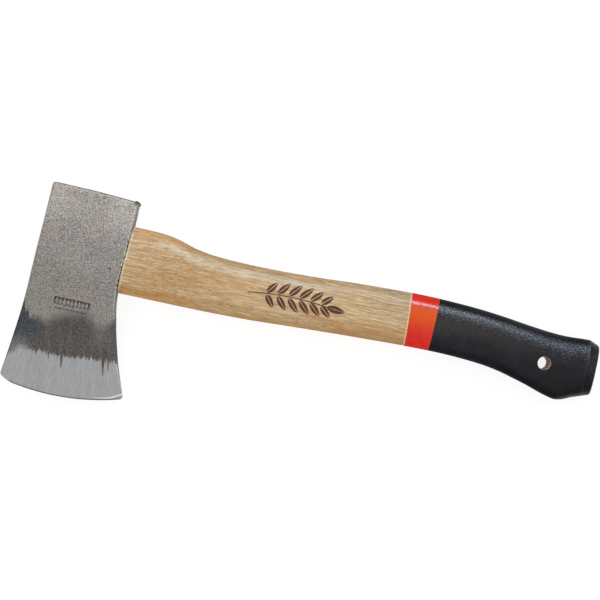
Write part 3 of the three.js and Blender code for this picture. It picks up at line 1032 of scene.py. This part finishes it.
    # The poll's upward faces: struck speckle, darkened overall as painted shade against the gloss light
    # there.
    struck = m.mix(m.ramp(grain, 0.38, 0.52), "#544a3f", "#a5988a")
    tone = m.mix(m.ramp(m.facing_y, 0.15, 0.4) * 0.8, tone, struck)
    burr = m.ramp(m.away(POLL_CORNER[0] / MM, POLL_CORNER[1] / MM), 0.8, 2.2, 0.8, 0)
    # Dark at the burr, and in the stamp's hollows as dirt and painted shade.
    tone = m.mix(m.math("MAXIMUM", burr, stamp_grime_and_shade(m) * 0.85), tone, "#35322f")

    rough = m.vary(grain, 0.44, 0.6) + ground * -0.18
    height = (grain - 0.5) * (1 - ground) * 0.22 + (lines - 0.5) * ground * 0.015 - pits * (1 - ground) * 0.08
    return m.finish(tone, rough, height, metallic=0.8)


def ash(name, light, dark, pith=(-70, 46)):
    """Ash with its growth rings about a pith that runs along the handle, as (y, z) from the middle."""
    m = Maker(name, Specular_IOR_Level=0.3, Coat_Weight=0.1, Coat_Roughness=0.3)
    wander = m.noise(0.010, 2, stretch=(1, 2, 2))
    curl = m.noise(0.13, 3)
    figured = m.math("MAXIMUM", m.near(m.x, 58, 34), m.near(m.x, 162, 32) * m.ramp(m.y, -14, -5, 1, 0))
    y, z = m.y - pith[0], m.z - (MID / MM + pith[1])
    radius = m.math("SQRT", y * y + z * z) + (wander - 0.5) * 22 + (curl - 0.5) * (figured * 5 + 1)
    ring = m.math("FRACT", radius * (1 / 3.1))
    early = m.ramp(ring, 0.0, 0.2) * m.ramp(ring, 0.25, 0.8, 1, 0)
    fibre = m.noise(1.0, 3, stretch=(0.06, 1.3, 1.3), rough=0.65)
    thread = m.noise(1.0, 3, stretch=(0.11, 2.3, 2.3), rough=0.6)
    pore = m.ramp(m.noise(1.0, 2, stretch=(0.3, 2.2, 2.2)), 0.57, 0.68) * m.ramp(early, 0.0, 0.7, 0.35, 1)
    fleck = m.ramp(m.noise(0.7, 3, stretch=(0.5, 1.6, 1.6)), 0.48, 0.62) * (figured * 0.75 + 0.25)
    broad = m.noise(0.07, 3, stretch=(0.10, 1, 1))

    tone = m.mix(m.ramp(broad, 0.36, 0.64), light, dark)
    tone = m.mix(early * 0.22, tone, "#a8814f")
    streaks = m.vary(fibre, 0.77, 1.2) * m.ramp(thread, 0.32, 0.68, 0.74, 1.2)
    tone = m.shade(tone, (1 + (streaks - 1) * (1 - figured * 0.4)) * (1 - figured * 0.04))
    tone = m.mix(m.ramp(streaks, 0.7, 1.05, 0.45, 0), tone, "#b8854a")
    tone = m.mix(pore * 0.6, tone, "#8a6238")
    tone = m.mix(fleck * 0.7, tone, "#ad7636")
    height = (fibre - 0.5) * 0.08 + (thread - 0.5) * 0.04 - pore * 0.04
    return m, tone, fibre, thread, height


def handle_wood():
    m, tone, fibre, thread, height = ash("ash_wood", "#d9bf96", "#c59963")
    low_side = m.ramp(m.facing_y, -0.9, -0.3, 1, 0)
    far_end = m.ramp(m.x, 120, 200) * m.ramp(m.y, -14, -4, 1, 0)
    # Painted shade: browner along the lower side past the shoulder and over the lower half at the far end.
    low_side_shade = m.math("MAXIMUM", low_side * m.ramp(m.x, 60, 120, 0, 0.4), far_end * 0.6)
    tone = m.mix(low_side_shade, tone, "#bd8a50")
    # Painted highlight: a pale streak below the handle's top edge, where the gloss light is mirrored.
    pale_line = [(x, handle_curve(x * MM)[0][0] / MM - HIGHLIGHT_BELOW_TOP) for x in range(40, 190, 10)]
    wavy = m.noise(0.12, 3, stretch=(0.4, 1.5, 1.5))
    pale = m.near(m.y - m.along(m.x, pale_line) + (wavy - 0.5) * 5, 0, 4)
    pale = pale * m.ramp(m.x, 40, 52) * m.ramp(m.x, 150, 180, 1, 0)
    tone = m.mix(pale * m.ramp(thread, 0.42, 0.58, 0.05, 0.9), tone, "#d6cdb0")
    # Painted shade on the upper side past the shoulder and at the top of the far end, and painted light on it
    # by the shoulder.
    high_side = m.ramp(m.facing_y, 0.25, 0.8) * m.ramp(m.x, 50, 90, -0.12, 0.16)
    tone = m.shade(tone, 1 - high_side - m.ramp(m.x, 165, 205) * m.ramp(m.y, -6, 8) * 0.14)
    # Painted light on the lower side by the shoulder.
    tone = m.shade(tone, 1 + low_side * m.ramp(m.x, 55, 90, 0.3, 0))
    past_shoulder = m.x - m.y * SHOULDER_LEAN - SHOULDER / MM
    frayed = past_shoulder + (m.noise(1.2, 2) - 0.5) * 3
    tone = m.mix(m.near(frayed, 0.6, 1.1) * 0.95, tone, "#f7e8c8")
    shadow = m.ramp(m.noise(0.9, 2), 0.56, 0.64) * m.near(past_shoulder, 0.2, 0.9)
    tone = m.mix(shadow * 0.9, tone, "#54432f")
    past_band = m.x - m.y * BAND_LEAN[0] - BAND_LOW / MM
    tone = m.mix(m.near(past_band, -0.5, 0.8) * 0.7, tone, "#ecd9b4")
    end_grain = m.ramp(m.facing_x, -0.75, -0.35, 0.6, 0) * m.ramp(m.x, -10, 0, 1, 0)
    tone = m.mix(end_grain, tone, "#80603a")
    bore = m.ramp(m.x, GRIP_LOW / MM + 20, GRIP_LOW / MM + 30)
    bare = m.mix(m.ramp(m.noise(0.5, 2), 0.42, 0.56), "#a48d76", "#e8d8c4")
    tone = m.mix(bore, tone, bare)
    return m.finish(tone, m.vary(fibre, 0.48, 0.6), height)


def wedge_wood():
    m, tone, fibre, _, height = ash("dark_wedge_wood", "#a67c4a", "#7e5730", pith=(30, -60))
    return m.finish(tone, m.vary(fibre, 0.6, 0.7), height)


def ring_steel():
    m = Maker("turned_ring_steel")
    turned = m.noise(2.2, 3, rough=0.6)
    tone = m.mix(m.vary(turned), "#8f8f8e", "#b4b4b2")
    tone = m.mix(m.ramp(m.noise(0.5, 3), 0.55, 0.7, 0, 0.4), tone, "#6d6660")
    return m.finish(tone, m.vary(turned, 0.25, 0.42), (turned - 0.5) * 0.02, metallic=1.0)


def red_lacquer():
    m = Maker("signal_red_lacquer", Specular_IOR_Level=0.1, Coat_Weight=0.26, Coat_Roughness=0.16)
    # Painted reflection of warm light: orange on the band's upper middle.
    warm_reflection = m.ramp(abs(m.z - MID / MM), 8, 11.8)
    uneven = m.noise(0.25, 2)
    tone = m.mix(m.vary(uneven), "#d82418", "#e02b1a")
    tone = m.mix(warm_reflection * m.ramp(m.y, -9, 6) * 0.85, tone, "#e25c12")
    # Painted light: lighter on the lower side.
    tone = m.shade(tone, m.ramp(m.facing_y, -0.7, 0, 1.14, 1))
    specks = m.ramp(m.noise(1.1, 3, stretch=(0.8, 1.2, 1.2)), 0.58, 0.64) * m.near(m.y, 11, 3.2)
    tone = m.mix(specks * 0.95, tone, "#26080a")
    height = (uneven - 0.5) * 0.05 + (m.noise(0.9, 2) - 0.5) * 0.05
    return m.finish(tone, m.vary(uneven, 0.28, 0.4), height)


def black_lacquer():
    m = Maker("black_grip_lacquer", Specular_IOR_Level=0.2)
    uneven = m.noise(0.12, 2)
    pebble = m.noise(1.1, 2)
    beads = m.noise(2.0, 1)
    towards_butt = m.ramp(m.x, GRIP_LOW / MM, BUTT / MM)
    tone = m.mix(m.vary(uneven), "#15151c", "#1d1d25")
    # Painted reflection of warm light: olive-brown over the middle of the grip, fading towards the butt and
    # gone above the highlight.
    olive = m.ramp(m.y + (uneven - 0.5) * 6, -9, 3) * (1 - towards_butt * 0.75)
    olive = olive * m.ramp(m.facing_y, 0.5, 0.75, 1, 0)
    tone = m.mix(olive * 0.8, tone, "#383430")
    shaded = 1 - towards_butt * m.ramp(m.y, -16, -4, 0.5, 0)
    tone = m.shade(tone, m.ramp(pebble, 0.32, 0.68, 0.72, 1.35) * shaded)
    dust = m.ramp(m.noise(1.4, 2), 0.66, 0.74)
    tone = m.mix(dust * 0.3, tone, "#66666b")
    from_hole = m.away(HOLE_X / MM, HOLE_Y / MM) - HOLE_RADIUS / MM
    tone = m.mix(m.ramp(from_hole, 0.0, 0.25, 1, 0), tone, "#b8a086")
    crease = m.x - BEVEL_START / MM
    # Painted highlight along the bevel's crease, stronger towards the top, and painted shade just past it on
    # the bevel.
    tone = m.mix(m.near(crease, -0.4, 0.9) * m.ramp(m.y, -14, 8, 0.04, 0.3), tone, "#6c6c70")
    tone = m.mix(m.near(crease, 1.2, 1.3) * 0.5, tone, "#0c0c0e")
    height = (pebble - 0.5) * (0.17 + towards_butt * 0.17) + (beads - 0.5) * 0.11 + (uneven - 0.5) * 0.25
    return m.finish(tone, m.vary(pebble, 0.13, 0.22), height)


def ink():
    m = Maker("brown_print_ink", Specular_IOR_Level=0.3)
    worn = m.ramp(m.noise(1.6, 3, stretch=(0.4, 2, 2)), 0.60, 0.75)
    tone = m.mix(m.noise(0.6, 2), "#4a2414", "#643823")
    tone = m.mix(worn * 0.5, tone, "#8c6a4a")
    return m.finish(tone, 0.5 + worn * 0.15, (m.noise(1.5, 2) - 0.5) * 0.01)


make_head(steel())
make_handle(handle_wood())
make_wedge(wedge_wood())
make_ring(ring_steel())
make_band(red_lacquer())
make_grip(black_lacquer())
make_print(ink())


# ---- Floor, light and camera ----


def make_floor():
    """A plain pale tabletop under the hatchet, lit enough of itself to leave only a faint shadow."""
    below = cad_box[0].z - 0.1 * MM
    bpy.ops.mesh.primitive_plane_add(size=FLOOR_SIZE, location=(cad_centre.x, cad_centre.y, below))
    floor = bpy.context.object
    floor.name = "floor"
    m = Maker("pale_floor", Specular_IOR_Level=0.1)
    m.shader.inputs["Emission Color"].default_value = (1, 1, 1, 1)
    m.shader.inputs["Emission Strength"].default_value = FLOOR_GLOW
    uneven = m.noise(0.01, 2)
    tone = m.mix(uneven, "#7a7a7a", "#808080")
    floor.data.materials.append(m.finish(tone, 0.8, uneven * 0.01))
    floor.visible_glossy = False  # the gloss mirrors the dim studio instead


def softbox(name, direction, distance, size, power, tint):
    """An area light, (wide, high) in size, that faces the middle of the hatchet."""
    data = bpy.data.lights.new(name, "AREA")
    data.shape = "RECTANGLE"
    data.size, data.size_y = size
    data.energy = power
    data.color = tint
    light = bpy.data.objects.new(name, data)
    towards = (PICTURE_AXES @ Vector(direction)).normalized()
    light.location = cad_centre + towards * distance
    light.rotation_euler = towards.to_track_quat("Z", "Y").to_euler()
    bpy.context.scene.collection.objects.link(light)
    return light


def make_lights():
    """One light for the shapes, and two that are seen only in the gloss. Directions are in the picture."""
    key = softbox(
        "key_from_above", direction=(0.1, 1, 0.58), distance=1.3, size=(0.36, 0.36), power=4.2,
        tint=(0.86, 0.93, 1),
    )
    key.visible_glossy = False
    strip = softbox(
        "gloss_strip", direction=(0.46, 0.95, 0.72), distance=1.3, size=(0.65, 0.25), power=16,
        tint=(0.64, 0.79, 1),
    )
    strip.visible_diffuse = False
    side = softbox(
        "side_strip", direction=(1, 0.05, 0.55), distance=1.4, size=(0.5, 0.4), power=2.5,
        tint=(1, 0.98, 0.95),
    )
    side.visible_diffuse = False


def make_studio():
    """White above and dim at the horizon. Below it, only the gloss sees the world, as the floor hides it.

    There it is a little brighter behind the hatchet, and brighter still past its butt.
    """
    world = bpy.data.worlds.new("studio")
    world.use_nodes = True
    bpy.context.scene.world = world
    nodes = Nodes(world.node_tree)
    right, back, up = nodes.split(nodes.node("TexCoord").outputs["Generated"])
    behind = nodes.ramp(up, -0.97, -0.8, 0.04, 0) * nodes.ramp(back, -0.1, 0.3)
    past_butt = nodes.ramp(up, -0.9, 0, 0.9, 0.2) * nodes.ramp(right, 0.1, 0.4)
    past_butt = past_butt * nodes.ramp(up, -0.1, 0.1, 1, 0)
    background = nodes.tree.nodes["Background"]
    background.inputs["Color"].default_value = (1, 1, 1, 1)
    above = nodes.ramp(up, -0.1, 0.8, 0.12, 0.93)
    nodes.feed(background.inputs["Strength"], above + (behind + past_butt))


def make_camera():
    camera = bpy.data.objects.new("camera", bpy.data.cameras.new("camera"))
    camera.data.lens = camera.data.sensor_width * CAMERA_HEIGHT / PICTURE_WIDTH
    camera.data.clip_start, camera.data.clip_end = 0.05, FLOOR_SIZE
    camera.location = (cad_centre.x + PICTURE_OFFSET.x, cad_centre.y + PICTURE_OFFSET.y, MID + CAMERA_HEIGHT)
    camera.rotation_euler = (0, 0, PICTURE_TURN)
    bpy.context.scene.collection.objects.link(camera)
    bpy.context.scene.camera = camera


cad_centre = (cad_box[0] + cad_box[1]) / 2
PICTURE_AXES = Matrix.Rotation(PICTURE_TURN, 3, "Z")  # the picture's right, up and outward, in the frame

make_camera()
make_floor()
make_lights()
make_studio()
bpy.context.scene.view_settings.view_transform = "Standard"
